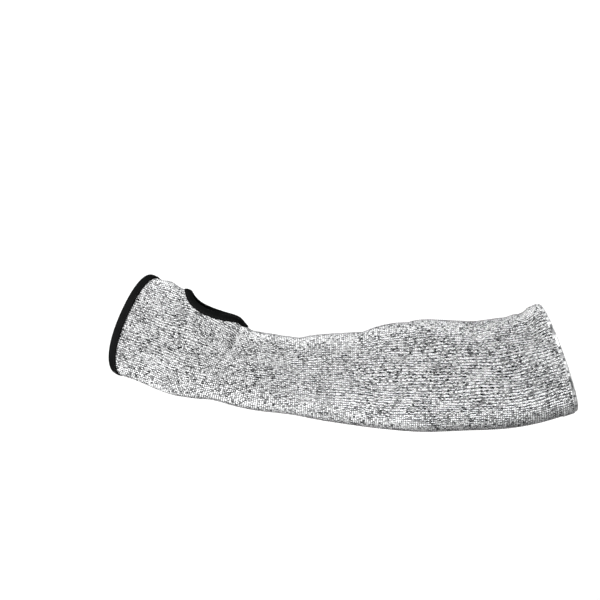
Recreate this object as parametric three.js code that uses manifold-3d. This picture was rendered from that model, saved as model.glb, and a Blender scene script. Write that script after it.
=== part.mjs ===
// Cut resistant sleeve: one seamless knitted tube from the palm to just past the elbow, with a thumb
// hole, a turned welt at the arm end, and black folded tape bound over the two cut edges.
// Millimetres, +Z up. The origin is the middle of the wrist, +X runs up the arm, -Y is the back side.

import * as THREE from 'three';
import Module from 'manifold-3d';
import { LoftGeometry } from 'three/addons/geometries/LoftGeometry.js';
import { mergeVertices } from 'three/addons/utils/BufferGeometryUtils.js';

const wasm = await Module();
wasm.setup();

// Lengths along the centreline, from the wrist to the two ends
const palmLength = 129.5;
const armLength = 275;

// Outside breadths, thumb side to little-finger side
const palmBreadth = 94;
const thumbBreadth = 92;
const wristBreadth = 69.5;
const forearmBreadth = 101;
const armEndBreadth = 102;

// Outside depths, back side to palm side
const palmDepth = 42;
const thumbDepth = 47;
const wristDepth = 50;
const forearmDepth = 86;
const armEndDepth = 90;

// How the centreline runs, in degrees: tilt of the palm, then the turns on the way up the arm
const palmTilt = 21;
const wristTurn = 18;
const forearmTurn = 4.5;
const elbowTurn = 17.5;

// Knit, and the turned welt at the arm end
const knitWall = 1.8;
const weltLength = 13;
const weltRise = 0.8;
const weltStep = 2.5;

// Hand opening: how much further back its palm side is cut
const palmSetback = 24;

// Thumb hole: from its far end to the hand opening's back side, its length, and its reach round the
// knit to each side of the thumb line
const strapLength = 49.5;
const thumbHoleLength = 58;
const backReach = 17;
const palmReach = 21;
const thumbHoleTaper = 0.5;

// Binding tape, folded over a cut edge
const tapeWidth = 7;
const tapeThickness = 0.9;
const tapeGap = 0.5;

// Mesh
const columns = 44;
const holeSteps = 44;
const noseSteps = 5;

// A table: each row becomes an object with the named columns
const table = (names, rows) => rows.map((row) => Object.fromEntries(names.map((name, i) => [name, row[i]])));

// In every table, at, from and to are places along the centreline from the wrist, as shares of the
// palm's length (below zero) or of the arm's (above zero)

// Where the centreline turns, and by how much
const turns = table(['from', 'to', 'by'], [
  [-0.40, 0.13, wristTurn],
  [0.33, 0.55, forearmTurn],
  [0.72, 0.99, elbowTurn],
]);

// Sections. thumb, little: from the centreline to the thumb side and to the other side, as shares of
// breadth. back, palm: to the back and the palm side, as shares of depth. full: how much squarer than
// an ellipse
const sections = table(['at', 'breadth', 'depth', 'thumb', 'little', 'back', 'palm', 'full'], [
  [-1.00, palmBreadth, palmDepth, 0.560, 0.425, 0.42, 0.50, 0.30],
  [-0.84, palmBreadth, palmDepth, 0.538, 0.445, 0.43, 0.54, 0.30],
  [-0.77, palmBreadth, palmDepth, 0.556, 0.440, 0.43, 0.56, 0.30],
  [-0.69, palmBreadth, palmDepth, 0.532, 0.443, 0.44, 0.58, 0.28],
  [-0.60, thumbBreadth, thumbDepth, 0.552, 0.458, 0.41, 0.58, 0.26],
  [-0.48, thumbBreadth, thumbDepth, 0.548, 0.452, 0.41, 0.59, 0.24],
  [-0.33, thumbBreadth, thumbDepth, 0.508, 0.405, 0.42, 0.57, 0.20],
  [-0.22, wristBreadth, wristDepth, 0.622, 0.478, 0.42, 0.54, 0.16],
  [-0.11, wristBreadth, wristDepth, 0.516, 0.482, 0.44, 0.53, 0.14],
  [0.00, wristBreadth, wristDepth, 0.512, 0.488, 0.47, 0.53, 0.12],
  [0.12, wristBreadth, wristDepth, 0.498, 0.504, 0.50, 0.56, 0.10],
  [0.22, forearmBreadth, forearmDepth, 0.378, 0.383, 0.34, 0.38, 0.08],
  [0.33, forearmBreadth, forearmDepth, 0.416, 0.413, 0.38, 0.43, 0.06],
  [0.42, forearmBreadth, forearmDepth, 0.486, 0.434, 0.42, 0.47, 0.06],
  [0.55, forearmBreadth, forearmDepth, 0.530, 0.464, 0.46, 0.52, 0.06],
  [0.70, forearmBreadth, forearmDepth, 0.508, 0.461, 0.48, 0.53, 0.06],
  [0.84, armEndBreadth, armEndDepth, 0.518, 0.456, 0.47, 0.51, 0.06],
  [1.00, armEndBreadth, armEndDepth, 0.540, 0.455, 0.48, 0.51, 0.06],
]);

// Folds. across: share of the way from the centreline to the thumb side (below zero, to the other
// side). side: 1 back, -1 palm, 0 both. slant: direction in degrees from the length. run, wide: reach
// with and across the fold, as shares of the wrist's breadth. rise: as a share of the knit's thickness
const folds = table(['at', 'across', 'side', 'slant', 'run', 'wide', 'rise'], [
  [-0.46, 0.42, 1, 62, 0.11, 0.045, -0.5],
  [-0.34, 0.40, 1, 66, 0.11, 0.045, -0.6],
  [-0.28, 0.55, 1, 72, 0.14, 0.050, 0.5],
  [-0.20, 0.56, 1, 84, 0.20, 0.050, -1.1],
  [-0.12, 0.62, 1, 92, 0.20, 0.060, 0.6],
  [0.05, 0.80, 0, 96, 0.22, 0.100, 0.5],
  [0.09, 0.62, 1, -50, 0.20, 0.055, -0.7],
  [0.14, 0.98, 0, 90, 0.16, 0.100, -0.7],
  [0.35, 0.90, 0, 104, 0.30, 0.100, -0.6],
  [0.50, 0.92, 0, 76, 0.24, 0.090, -0.7],
  [0.72, 0.90, 1, 80, 0.18, 0.100, -0.9],
  [0.86, 0.80, 0, 92, 0.40, 0.120, -0.6],
  [0.93, 0.85, 0, 98, 0.45, 0.100, -1.0],
  [-0.10, -0.10, -1, 84, 0.34, 0.070, -0.9],
  [0.05, 0.00, -1, 98, 0.38, 0.080, -0.8],
]);

// Swells of the palm side: the ball of the thumb, the heel of the palm, and the hollow between them.
// Columns as in the folds, but rise is a share of the thumb section's depth
const swells = table(['at', 'across', 'side', 'slant', 'run', 'wide', 'rise'], [
  [-0.40, 0.52, -1, 12, 0.44, 0.26, 0.09],
  [-0.42, -0.50, -1, -4, 0.52, 0.24, 0.06],
  [-0.62, 0.05, -1, 8, 0.36, 0.16, -0.05],
]);

// Rows of the mesh between two places, close together where the gathers are
const rowSpans = table(['from', 'to', 'count'], [
  [-1.00, -0.66, 5],
  [-0.66, -0.46, 4],
  [-0.46, 0.06, 16],
  [0.06, 0.22, 7],
  [0.22, 0.94, 13],
]);

// Rises smoothly from 0 to 1 while t does
const ease = (t) => THREE.MathUtils.smoothstep(t, 0, 1);

const lengthAt = (share) => share * (share < 0 ? palmLength : armLength);

// Direction of the centreline at a distance along it, in radians above level
function headingAt(along) {
  let degrees = -palmTilt;
  for (const turn of turns) {
    const start = lengthAt(turn.from);
    degrees += turn.by * ease((along - start) / (lengthAt(turn.to) - start));
  }
  return THREE.MathUtils.degToRad(degrees);
}

// Centreline: walked from the wrist in equal strides of about two millimetres
function centreAt(along) {
  const strides = Math.max(1, Math.ceil(Math.abs(along) / 2));
  const stride = along / strides;
  const centre = new THREE.Vector3();
  for (let i = 0; i < strides; i += 1) {
    const heading = headingAt((i + 0.5) * stride);
    centre.x += Math.cos(heading) * stride;
    centre.z += Math.sin(heading) * stride;
  }
  return centre;
}

// A row's reach from the centreline to one side, or its fullness
function rowValue(row, side) {
  if (side === 'full') return row.full;
  return row[side] * (side === 'thumb' || side === 'little' ? row.breadth : row.depth);
}

// The same at a distance along: a cubic through the rows, whose slope at a row is that from the row
// before to the row after
function sectionValue(side, along) {
  const last = sections.length - 1;
  const place = (i) => lengthAt(sections[i].at);
  const value = (i) => rowValue(sections[i], side);
  const slope = (i) => {
    const before = Math.max(0, i - 1);
    const after = Math.min(last, i + 1);
    return (value(after) - value(before)) / (place(after) - place(before));
  };
  let i = 0;
  while (i < last - 1 && along > place(i + 1)) i += 1;
  const span = place(i + 1) - place(i);
  const t = THREE.MathUtils.clamp((along - place(i)) / span, 0, 1);
  return THREE.MathUtils.lerp(value(i), value(i + 1), ease(t))
    + slope(i) * span * t * (1 - t) * (1 - t)
    - slope(i + 1) * span * t * t * (1 - t);
}

// Height of one fold at a place: a bell, long with its run and narrow across it, that fades out
// towards the side it isn't on
function foldHeight(fold, along, up, angle) {
  const middle = lengthAt(fold.at);
  const half = sectionValue(fold.across > 0 ? 'thumb' : 'little', middle);
  const offset = new THREE.Vector2(along - middle, up - fold.across * half)
    .rotateAround(new THREE.Vector2(), -THREE.MathUtils.degToRad(fold.slant))
    .divideScalar(wristBreadth);
  const facing = fold.side === 0 ? 1 : ease(0.5 + 1.4 * fold.side * Math.cos(angle));
  return facing * fold.rise * Math.exp(-((offset.x / fold.run) ** 2) - (offset.y / fold.wide) ** 2);
}

function reliefAt(along, up, angle) {
  const sum = (rows) => rows.reduce((height, row) => height + foldHeight(row, along, up, angle), 0);
  const welt = weltRise * ease((along - armLength + weltLength) / weltStep);
  return knitWall * sum(folds) + thumbDepth * sum(swells) + welt;
}

// Outside of the knit. angle: 0 on the back side, a quarter turn on the thumb side, half on the palm
function surfaceAt(along, angle) {
  const cos = Math.cos(angle);
  const sin = Math.sin(angle);
  const acrossHalf = sectionValue(sin > 0 ? 'thumb' : 'little', along);
  const deepHalf = sectionValue(cos > 0 ? 'back' : 'palm', along);
  const full = sectionValue('full', along);
  const outward = new THREE.Vector2(-acrossHalf * cos, deepHalf * sin).normalize();
  const up = acrossHalf * sin;
  const raised = reliefAt(along, up, angle);
  const deep = -deepHalf * cos * (1 + full * sin * sin) + outward.x * raised;
  const high = up + outward.y * raised;
  const heading = headingAt(along);
  const point = centreAt(along);
  point.x -= Math.sin(heading) * high;
  point.y = deep;
  point.z += Math.cos(heading) * high;
  return point;
}

// Slopes of the surface per millimetre along and per radian round, and its normal
function frameAt(along, angle) {
  const stepAlong = 0.4;
  const stepRound = 0.008;
  const alongSlope = surfaceAt(along + stepAlong, angle)
    .sub(surfaceAt(along - stepAlong, angle))
    .divideScalar(2 * stepAlong);
  const roundSlope = surfaceAt(along, angle + stepRound)
    .sub(surfaceAt(along, angle - stepRound))
    .divideScalar(2 * stepRound);
  const normal = new THREE.Vector3().crossVectors(alongSlope, roundSlope).normalize();
  return { alongSlope, roundSlope, normal };
}

const offsetAt = (along, angle, lift) =>
  frameAt(along, angle).normal.multiplyScalar(lift).add(surfaceAt(along, angle));

// The cut edge of the hand opening, further back on the palm side
const openingEdge = (angle) => -palmLength + palmSetback * (1 - Math.cos(angle)) / 2;

// Moves a place on the surface by a distance in a direction, in short strides
function slide(place, direction, distance) {
  const strides = Math.max(1, Math.ceil(Math.abs(distance) / 1.5));
  const stride = distance / strides;
  let { along, angle } = place;
  for (let i = 0; i < strides; i += 1) {
    const { alongSlope, roundSlope } = frameAt(along, angle);
    const aa = alongSlope.dot(alongSlope);
    const ar = alongSlope.dot(roundSlope);
    const rr = roundSlope.dot(roundSlope);
    const da = direction.dot(alongSlope);
    const dr = direction.dot(roundSlope);
    const scale = stride / (aa * rr - ar * ar);
    along += scale * (da * rr - dr * ar);
    angle += scale * (dr * aa - da * ar);
  }
  return { along, angle };
}

// The angle that lies a given distance round the knit from the thumb line
function angleRound(along, distance) {
  const strides = 24;
  let angle = thumbLine;
  for (let i = 0; i < strides; i += 1) {
    angle += distance / strides / frameAt(along, angle).roundSlope.length();
  }
  return angle;
}

const thumbLine = Math.PI / 2;
const holeMiddle = -palmLength + strapLength + thumbHoleLength / 2;

// Largest value of sin(t) * (1 + taper * cos(t)), which scales the egg to its stated reach
const widestTurn = Math.acos((Math.sqrt(1 + 8 * thumbHoleTaper ** 2) - 1) / (4 * thumbHoleTaper));
const widestShare = Math.sin(widestTurn) * (1 + thumbHoleTaper * Math.cos(widestTurn));

// The cut edge of the thumb hole: an egg whose wide end points at the hand opening
function holeEdge(turn) {
  const along = holeMiddle - Math.cos(turn) * thumbHoleLength / 2;
  const share = Math.sin(turn) * (1 + thumbHoleTaper * Math.cos(turn)) / widestShare;
  const reach = share * (share < 0 ? backReach : palmReach);
  return { along, angle: angleRound(along, reach) };
}

const loop = (count, at) => Array.from({ length: count }, (unused, i) => at(i));

// A loft through rings of points, with doubled points merged. Where a ring is a single point, the
// triangles that collapse there are dropped
function geometryOf(rings) {
  const loft = new LoftGeometry(rings);
  const geometry = new THREE.BufferGeometry();
  geometry.setAttribute('position', loft.attributes.position);
  geometry.setIndex(loft.index);
  const merged = mergeVertices(geometry, 1e-4);
  const corners = merged.index.array;
  const kept = [];
  for (let i = 0; i < corners.length; i += 3) {
    const [a, b, c] = corners.slice(i, i + 3);
    if (a !== b && b !== c && c !== a) kept.push(a, b, c);
  }
  merged.setIndex(kept);
  return merged;
}

function solidOf(geometry) {
  const vertProperties = new Float32Array(geometry.attributes.position.array);
  const triVerts = new Uint32Array(geometry.index.array);
  return new wasm.Manifold(new wasm.Mesh({ numProp: 3, vertProperties, triVerts }));
}

function geometryFrom(solid) {
  const mesh = solid.getMesh();
  const geometry = new THREE.BufferGeometry();
  geometry.setAttribute('position', new THREE.BufferAttribute(mesh.vertProperties, 3));
  geometry.setIndex(new THREE.BufferAttribute(mesh.triVerts, 1));
  geometry.computeVertexNormals();
  return geometry;
}

// Knit: rows of the outside from the arm end down to the hand opening, then of the inside back up
function knitTube() {
  const weltStart = armLength - weltLength;
  const weltRows = [armLength, (armLength + weltStart) / 2, weltStart + weltStep, weltStart];
  const rows = weltRows.map((along) => () => along);
  for (const { from, to, count } of [...rowSpans].reverse()) {
    for (let i = count - 1; i >= 0; i -= 1) {
      rows.push((angle) => {
        const start = from === -1 ? openingEdge(angle) : lengthAt(from);
        return start + (i / count) * (lengthAt(to) - start);
      });
    }
  }
  const ring = (row, lift) => loop(columns, (i) => {
    const angle = (i / columns) * 2 * Math.PI;
    return offsetAt(row(angle), angle, lift);
  });
  const outside = rows.map((row) => ring(row, 0));
  const inside = rows.map((row) => ring(row, -knitWall)).reverse();
  return geometryOf([...outside, ...inside, outside[0]]);
}

// Plug that cuts the thumb hole: the hole's edge carried through the wall, closed above and below
function holePlug() {
  const ring = (share, lift) => loop(holeSteps, (i) => {
    const edge = holeEdge((i / holeSteps) * 2 * Math.PI);
    const along = holeMiddle + share * (edge.along - holeMiddle);
    const angle = thumbLine + share * (edge.angle - thumbLine);
    return offsetAt(along, angle, lift);
  });
  const reach = 5 * knitWall;
  return geometryOf([
    ...[0, 0.5, 1].map((share) => ring(share, reach)),
    ...[1, 0.5, 0].map((share) => ring(share, -reach)),
  ]);
}

// Folded tape in section. into: distance from the cut edge into the knit. lift: above the outside
function tapeProfile() {
  const outer = tapeGap + tapeThickness;
  const nose = knitWall / 2 + outer;
  const leg = tapeWidth - outer;
  const round = loop(noseSteps + 1, (i) => {
    const turn = Math.PI * (0.5 + i / noseSteps);
    return { into: nose - outer + nose * Math.cos(turn), lift: -knitWall / 2 + nose * Math.sin(turn) };
  });
  return [
    { into: leg, lift: tapeGap },
    { into: leg, lift: outer },
    ...round,
    { into: leg, lift: -knitWall - outer },
    { into: leg, lift: -knitWall - tapeGap },
    { into: -tapeGap, lift: -knitWall - tapeGap },
    { into: -tapeGap, lift: tapeGap },
  ];
}

// Tape round the hand opening: its profile carried round the columns of the knit
function handBinding() {
  const rings = loop(columns, (i) => {
    const angle = -(i / columns) * 2 * Math.PI;
    const edge = openingEdge(angle);
    const stretch = frameAt(edge, angle).alongSlope.length();
    return tapeProfile().map(({ into, lift }) => offsetAt(edge + into / stretch, angle, lift));
  });
  return geometryOf([...rings, rings[0]]);
}

// Tape round the thumb hole: its profile carried round the hole's edge
function thumbBinding() {
  const rings = loop(holeSteps, (i) => {
    const turn = (i / holeSteps) * 2 * Math.PI;
    const place = holeEdge(turn);
    const before = holeEdge(turn - 0.05);
    const after = holeEdge(turn + 0.05);
    const run = surfaceAt(after.along, after.angle).sub(surfaceAt(before.along, before.angle));
    const away = frameAt(place.along, place.angle).normal.cross(run).normalize();
    return tapeProfile().map(({ into, lift }) => {
      const { along, angle } = slide(place, away, into);
      return offsetAt(along, angle, lift);
    });
  });
  return geometryOf([...rings, rings[0]]);
}

const knit = new THREE.MeshStandardMaterial({ color: 0xb2b4b6, roughness: 0.9, metalness: 0 });
const tape = new THREE.MeshStandardMaterial({ color: 0x202222, roughness: 0.8, metalness: 0 });

function named(name, geometry, material) {
  const mesh = new THREE.Mesh(geometry, material);
  mesh.name = name;
  return mesh;
}

const sleeve = new THREE.Group();
sleeve.add(named('sleeve_body', geometryFrom(solidOf(knitTube()).subtract(solidOf(holePlug()))), knit));
sleeve.add(named('hand_binding', handBinding(), tape));
sleeve.add(named('thumb_binding', thumbBinding(), tape));

export default sleeve;
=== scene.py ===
import bpy
import numpy as np
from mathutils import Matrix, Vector


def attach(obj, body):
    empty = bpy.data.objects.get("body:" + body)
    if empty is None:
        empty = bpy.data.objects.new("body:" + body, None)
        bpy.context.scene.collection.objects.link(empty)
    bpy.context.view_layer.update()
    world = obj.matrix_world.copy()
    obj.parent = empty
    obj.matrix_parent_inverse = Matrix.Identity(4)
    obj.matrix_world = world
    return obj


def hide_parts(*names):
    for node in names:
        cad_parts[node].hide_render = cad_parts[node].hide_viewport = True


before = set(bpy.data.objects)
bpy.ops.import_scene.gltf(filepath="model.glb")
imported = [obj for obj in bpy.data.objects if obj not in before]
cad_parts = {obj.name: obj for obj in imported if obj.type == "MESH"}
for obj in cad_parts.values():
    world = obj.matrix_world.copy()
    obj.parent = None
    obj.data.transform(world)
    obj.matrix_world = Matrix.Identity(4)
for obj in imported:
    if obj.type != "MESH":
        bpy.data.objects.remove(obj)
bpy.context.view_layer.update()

mm = 0.001
fullTurn = 2 * np.pi
settleRounds = 4  # rounds after which the sloping edge of the hand opening stays put
bakeMargin = 0.002  # left free round a map for baking

# Driving sizes, in millimetres and degrees: the same as the solids'
sleeve = {
    "palmLength": 129.5, "armLength": 275.0,
    "breadth": {"palm": 94.0, "thumb": 92.0, "wrist": 69.5, "forearm": 101.0, "armEnd": 102.0},
    "depth": {"palm": 42.0, "thumb": 47.0, "wrist": 50.0, "forearm": 86.0, "armEnd": 90.0},
    "palmTilt": 21.0, "wristTurn": 18.0, "forearmTurn": 4.5, "elbowTurn": 17.5,
    "knitWall": 1.8, "weltLength": 13.0, "weltRise": 0.8, "weltStep": 2.5, "weltHem": 1.3,
    "palmSetback": 24.0,
    "strapLength": 49.5, "thumbHoleLength": 58.0, "backReach": 17.0, "palmReach": 21.0,
    "thumbHoleTaper": 0.5,
    "tapeWidth": 7.0, "tapeThickness": 0.9, "tapeGap": 0.5,
}

# Where the centreline turns: from and to, as shares of the length, and by how much
turnRows = [
    (-0.40, 0.13, "wristTurn"),
    (0.33, 0.55, "forearmTurn"),
    (0.72, 0.99, "elbowTurn"),
]

# Sections: place, the sizes that they take, reach to the thumb side and to the little-finger side as
# shares of breadth, reach to the back and to the palm as shares of depth, and fullness
sectionRows = [
    (-1.00, "palm", 0.560, 0.425, 0.42, 0.50, 0.30),
    (-0.84, "palm", 0.538, 0.445, 0.43, 0.54, 0.30),
    (-0.77, "palm", 0.556, 0.440, 0.43, 0.56, 0.30),
    (-0.69, "palm", 0.532, 0.443, 0.44, 0.58, 0.28),
    (-0.60, "thumb", 0.552, 0.458, 0.41, 0.58, 0.26),
    (-0.48, "thumb", 0.548, 0.452, 0.41, 0.59, 0.24),
    (-0.33, "thumb", 0.508, 0.405, 0.42, 0.57, 0.20),
    (-0.22, "wrist", 0.622, 0.478, 0.42, 0.54, 0.16),
    (-0.11, "wrist", 0.516, 0.482, 0.44, 0.53, 0.14),
    (0.00, "wrist", 0.512, 0.488, 0.47, 0.53, 0.12),
    (0.12, "wrist", 0.498, 0.504, 0.50, 0.56, 0.10),
    (0.22, "forearm", 0.378, 0.383, 0.34, 0.38, 0.08),
    (0.33, "forearm", 0.416, 0.413, 0.38, 0.43, 0.06),
    (0.42, "forearm", 0.486, 0.434, 0.42, 0.47, 0.06),
    (0.55, "forearm", 0.530, 0.464, 0.46, 0.52, 0.06),
    (0.70, "forearm", 0.508, 0.461, 0.48, 0.53, 0.06),
    (0.84, "armEnd", 0.518, 0.456, 0.47, 0.51, 0.06),
    (1.00, "armEnd", 0.540, 0.455, 0.48, 0.51, 0.06),
]

# Folds: place, share of the way to the thumb side, side (1 back, -1 palm, 0 both), slant in degrees,
# reach with and across the fold as shares of the wrist's breadth, rise as a share of the knit's wall
foldRows = [
    (-0.46, 0.42, 1, 62, 0.11, 0.045, -0.5),
    (-0.34, 0.40, 1, 66, 0.11, 0.045, -0.6),
    (-0.28, 0.55, 1, 72, 0.14, 0.050, 0.5),
    (-0.20, 0.56, 1, 84, 0.20, 0.050, -1.1),
    (-0.12, 0.62, 1, 92, 0.20, 0.060, 0.6),
    (0.05, 0.80, 0, 96, 0.22, 0.100, 0.5),
    (0.09, 0.62, 1, -50, 0.20, 0.055, -0.7),
    (0.14, 0.98, 0, 90, 0.16, 0.100, -0.7),
    (0.35, 0.90, 0, 104, 0.30, 0.100, -0.6),
    (0.50, 0.92, 0, 76, 0.24, 0.090, -0.7),
    (0.72, 0.90, 1, 80, 0.18, 0.100, -0.9),
    (0.86, 0.80, 0, 92, 0.40, 0.120, -0.6),
    (0.93, 0.85, 0, 98, 0.45, 0.100, -1.0),
    (-0.10, -0.10, -1, 84, 0.34, 0.070, -0.9),
    (0.05, 0.00, -1, 98, 0.38, 0.080, -0.8),
]

# Small creases that only the finished cloth has, in the folds' columns
creaseRows = [
    (-0.195, 0.54, 1, 80, 0.20, 0.055, -1.7),
    (-0.29, 0.46, 1, 72, 0.16, 0.045, -1.5),
    (-0.37, 0.44, 1, 64, 0.13, 0.040, -1.2),
    (-0.15, 0.74, 1, 92, 0.10, 0.030, 0.5),
    (-0.08, 0.30, 1, 70, 0.16, 0.026, -0.35),
    (-0.30, 0.16, 1, 58, 0.14, 0.026, -0.3),
    (0.095, 0.56, 1, -50, 0.18, 0.048, -1.6),
    (0.12, 0.20, 1, -38, 0.16, 0.030, -0.4),
    (0.19, 0.60, 1, 64, 0.16, 0.034, -0.35),
    (0.44, 0.70, 1, 62, 0.20, 0.040, -0.22),
    (0.60, 0.82, 1, 84, 0.16, 0.040, -0.28),
    (0.72, 0.80, 1, -66, 0.10, 0.036, -0.80),
    (0.80, 0.30, 1, 82, 0.26, 0.040, -0.22),
]

# Swells of the palm side: the ball of the thumb, the heel of the palm and the hollow between them.
# Columns as in the folds, but rise is a share of the thumb section's depth
swellRows = [
    (-0.40, 0.52, -1, 12, 0.44, 0.26, 0.09),
    (-0.42, -0.50, -1, -4, 0.52, 0.24, 0.06),
    (-0.62, 0.05, -1, 8, 0.36, 0.16, -0.05),
]
foldFade = 1.4  # how steeply a fold of one side fades out towards the other


def smooth(t):
    # 3t^2 - 2t^3 between 0 and 1, flat outside
    t = np.clip(t, 0.0, 1.0)
    return t * t * (3.0 - 2.0 * t)


def lengthAt(share):
    # a share below zero is of the palm's length, above zero of the arm's
    return share * (sleeve["palmLength"] if share < 0 else sleeve["armLength"])


def headingAt(along):
    # minus the palm's tilt, plus each turn as far as it has gone
    degrees = np.full(np.shape(along), -sleeve["palmTilt"])
    for start, end, turn in turnRows:
        first, last = lengthAt(start), lengthAt(end)
        degrees = degrees + sleeve[turn] * smooth((along - first) / (last - first))
    return np.radians(degrees)


# Centreline: running sums of the heading's cosine and sine, taken from the wrist
centreStep = 0.5
centreMargin = 10
centrePlaces = np.arange(-sleeve["palmLength"] - centreMargin, sleeve["armLength"] + centreMargin,
                         centreStep)
centreHeads = headingAt(centrePlaces + centreStep / 2)
centreX = np.concatenate([[0], np.cumsum(np.cos(centreHeads) * centreStep)[:-1]])
centreZ = np.concatenate([[0], np.cumsum(np.sin(centreHeads) * centreStep)[:-1]])
centreX = centreX - np.interp(0, centrePlaces, centreX)
centreZ = centreZ - np.interp(0, centrePlaces, centreZ)


def reachCurve(side):
    # places, values and slopes of one column: a row's slope is that from the row before to the row after
    column = {"thumb": 2, "little": 3, "back": 4, "palm": 5, "full": 6}[side]
    kind = {"thumb": "breadth", "little": "breadth", "back": "depth", "palm": "depth"}.get(side)
    places = np.array([lengthAt(row[0]) for row in sectionRows])
    values = np.array([row[column] * (sleeve[kind][row[1]] if kind else 1) for row in sectionRows])
    before = np.maximum(np.arange(len(places)) - 1, 0)
    after = np.minimum(np.arange(len(places)) + 1, len(places) - 1)
    return places, values, (values[after] - values[before]) / (places[after] - places[before])


reachCurves = {side: reachCurve(side) for side in ("thumb", "little", "back", "palm", "full")}


def reachAt(side, along):
    # cubic through the section rows
    places, values, slopes = reachCurves[side]
    i = np.clip(np.searchsorted(places, along, side="left") - 1, 0, len(places) - 2)
    span = places[i + 1] - places[i]
    t = np.clip((along - places[i]) / span, 0, 1)
    eased = values[i] + (values[i + 1] - values[i]) * smooth(t)
    return eased + slopes[i] * span * t * (1 - t) ** 2 - slopes[i + 1] * span * t * t * (1 - t)


def foldSum(rows, along, up, angle):
    # sum of bells, each long with its run and narrow across it, fading out towards the other side
    height = np.zeros(np.broadcast(along, up).shape)
    for at, across, side, slant, run, wide, rise in rows:
        middle = lengthAt(at)
        half = reachAt("thumb" if across > 0 else "little", middle)
        turn = -np.radians(slant)
        forward, aside = along - middle, up - across * half
        x = (forward * np.cos(turn) - aside * np.sin(turn)) / sleeve["breadth"]["wrist"] / run
        y = (forward * np.sin(turn) + aside * np.cos(turn)) / sleeve["breadth"]["wrist"] / wide
        facing = 1 if side == 0 else smooth(0.5 + foldFade * side * np.cos(angle))
        height = height + facing * rise * np.exp(-x * x - y * y)
    return height


def surfaceAt(along, angle):
    # outside of the knit: an oval round the centreline, squarer by its fullness, plus folds and welt.
    # angle: 0 on the back side, a quarter turn on the thumb side, half a turn on the palm
    cosine, sine = np.cos(angle), np.sin(angle)
    acrossHalf = np.where(sine > 0, reachAt("thumb", along), reachAt("little", along))
    deepHalf = np.where(cosine > 0, reachAt("back", along), reachAt("palm", along))
    outY, outUp = -acrossHalf * cosine, deepHalf * sine
    size = np.hypot(outY, outUp)
    up = acrossHalf * sine
    welt = smooth((along - sleeve["armLength"] + sleeve["weltLength"]) / sleeve["weltStep"])
    raised = sleeve["knitWall"] * foldSum(foldRows + creaseRows, along, up, angle)
    raised = raised + sleeve["depth"]["thumb"] * foldSum(swellRows, along, up, angle)
    raised = raised + sleeve["weltRise"] * welt
    deep = -deepHalf * cosine * (1 + reachAt("full", along) * sine * sine) + outY / size * raised
    high = up + outUp / size * raised
    heading = headingAt(along)
    x = np.interp(along, centrePlaces, centreX) - np.sin(heading) * high
    z = np.interp(along, centrePlaces, centreZ) + np.cos(heading) * high
    return np.stack([x, deep, z], axis=-1)


def frameAt(along, angle):
    # slopes of the surface per millimetre along and per radian round, and its outward normal
    stepAlong, stepRound = 0.4, 0.008
    alongSlope = surfaceAt(along + stepAlong, angle) - surfaceAt(along - stepAlong, angle)
    roundSlope = surfaceAt(along, angle + stepRound) - surfaceAt(along, angle - stepRound)
    normal = np.cross(alongSlope, roundSlope)
    normal = normal / np.linalg.norm(normal, axis=-1, keepdims=True)
    return alongSlope / (2 * stepAlong), roundSlope / (2 * stepRound), normal


def offsetAt(along, angle, lift):
    # the surface moved out along its normal
    return surfaceAt(along, angle) + frameAt(along, angle)[2] * np.asarray(lift)[..., None]


# Arc length round the knit at places along it, and the angle that each share of the way round has
tableStep = 2.0
tableMargin = 8
tableColumns = 721
tablePlaces = np.arange(-sleeve["palmLength"] - tableMargin, sleeve["armLength"] + tableMargin, tableStep)
tableAngles = np.linspace(0, fullTurn, tableColumns)
ringPoints = surfaceAt(tablePlaces[:, None], tableAngles[None, :])
arcs = np.cumsum(np.linalg.norm(np.diff(ringPoints, axis=1), axis=-1), axis=1)
arcs = np.concatenate([np.zeros((len(arcs), 1)), arcs], axis=1)
shares = np.linspace(0, 1, tableColumns)
angleOfShare = np.array([np.interp(shares, row / row[-1], tableAngles) for row in arcs])


def lookUp(grid, along, part):
    # value between the nearest four of a grid, held a hair inside its last row and column: rows are
    # table places, columns parts 0 to 1 of the row
    row = np.clip((along - tablePlaces[0]) / tableStep, 0, len(tablePlaces) - 1.001)
    column = np.clip(part * (grid.shape[1] - 1), 0, grid.shape[1] - 1.001)
    i, j = row.astype(int), column.astype(int)
    fi, fj = row - i, column - j
    low = grid[i, j] * (1 - fj) + grid[i, j + 1] * fj
    high = grid[i + 1, j] * (1 - fj) + grid[i + 1, j + 1] * fj
    return low * (1 - fi) + high * fi


def angleAt(along, share):
    # the angle that lies a share of the way round the knit, whole turns kept
    along, share = np.broadcast_arrays(np.asarray(along, float), np.asarray(share, float))
    turns = np.floor(share)
    return lookUp(angleOfShare, along, share - turns) + fullTurn * turns


def thumbDistance(along, angle):
    # millimetres round the knit from the thumb line
    return lookUp(arcs, along, angle / fullTurn) - lookUp(arcs, along, np.full(np.shape(angle), 0.25))


def angleRound(along, distance):
    # the angle that lies a distance round the knit from the thumb line
    whole = np.interp(along, tablePlaces, arcs[:, -1])
    quarter = lookUp(arcs, along, np.full(np.shape(along), 0.25))
    return angleAt(along, (quarter + distance) / whole)


def openingEdge(angle):
    # the cut edge of the hand opening, further back on the palm side
    return -sleeve["palmLength"] + sleeve["palmSetback"] * (1 - np.cos(angle)) / 2


holeMiddle = -sleeve["palmLength"] + sleeve["strapLength"] + sleeve["thumbHoleLength"] / 2
taper = sleeve["thumbHoleTaper"]
widestTurn = np.arccos((np.sqrt(1 + 8 * taper**2) - 1) / (4 * taper))
widestShare = np.sin(widestTurn) * (1 + taper * np.cos(widestTurn))


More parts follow.
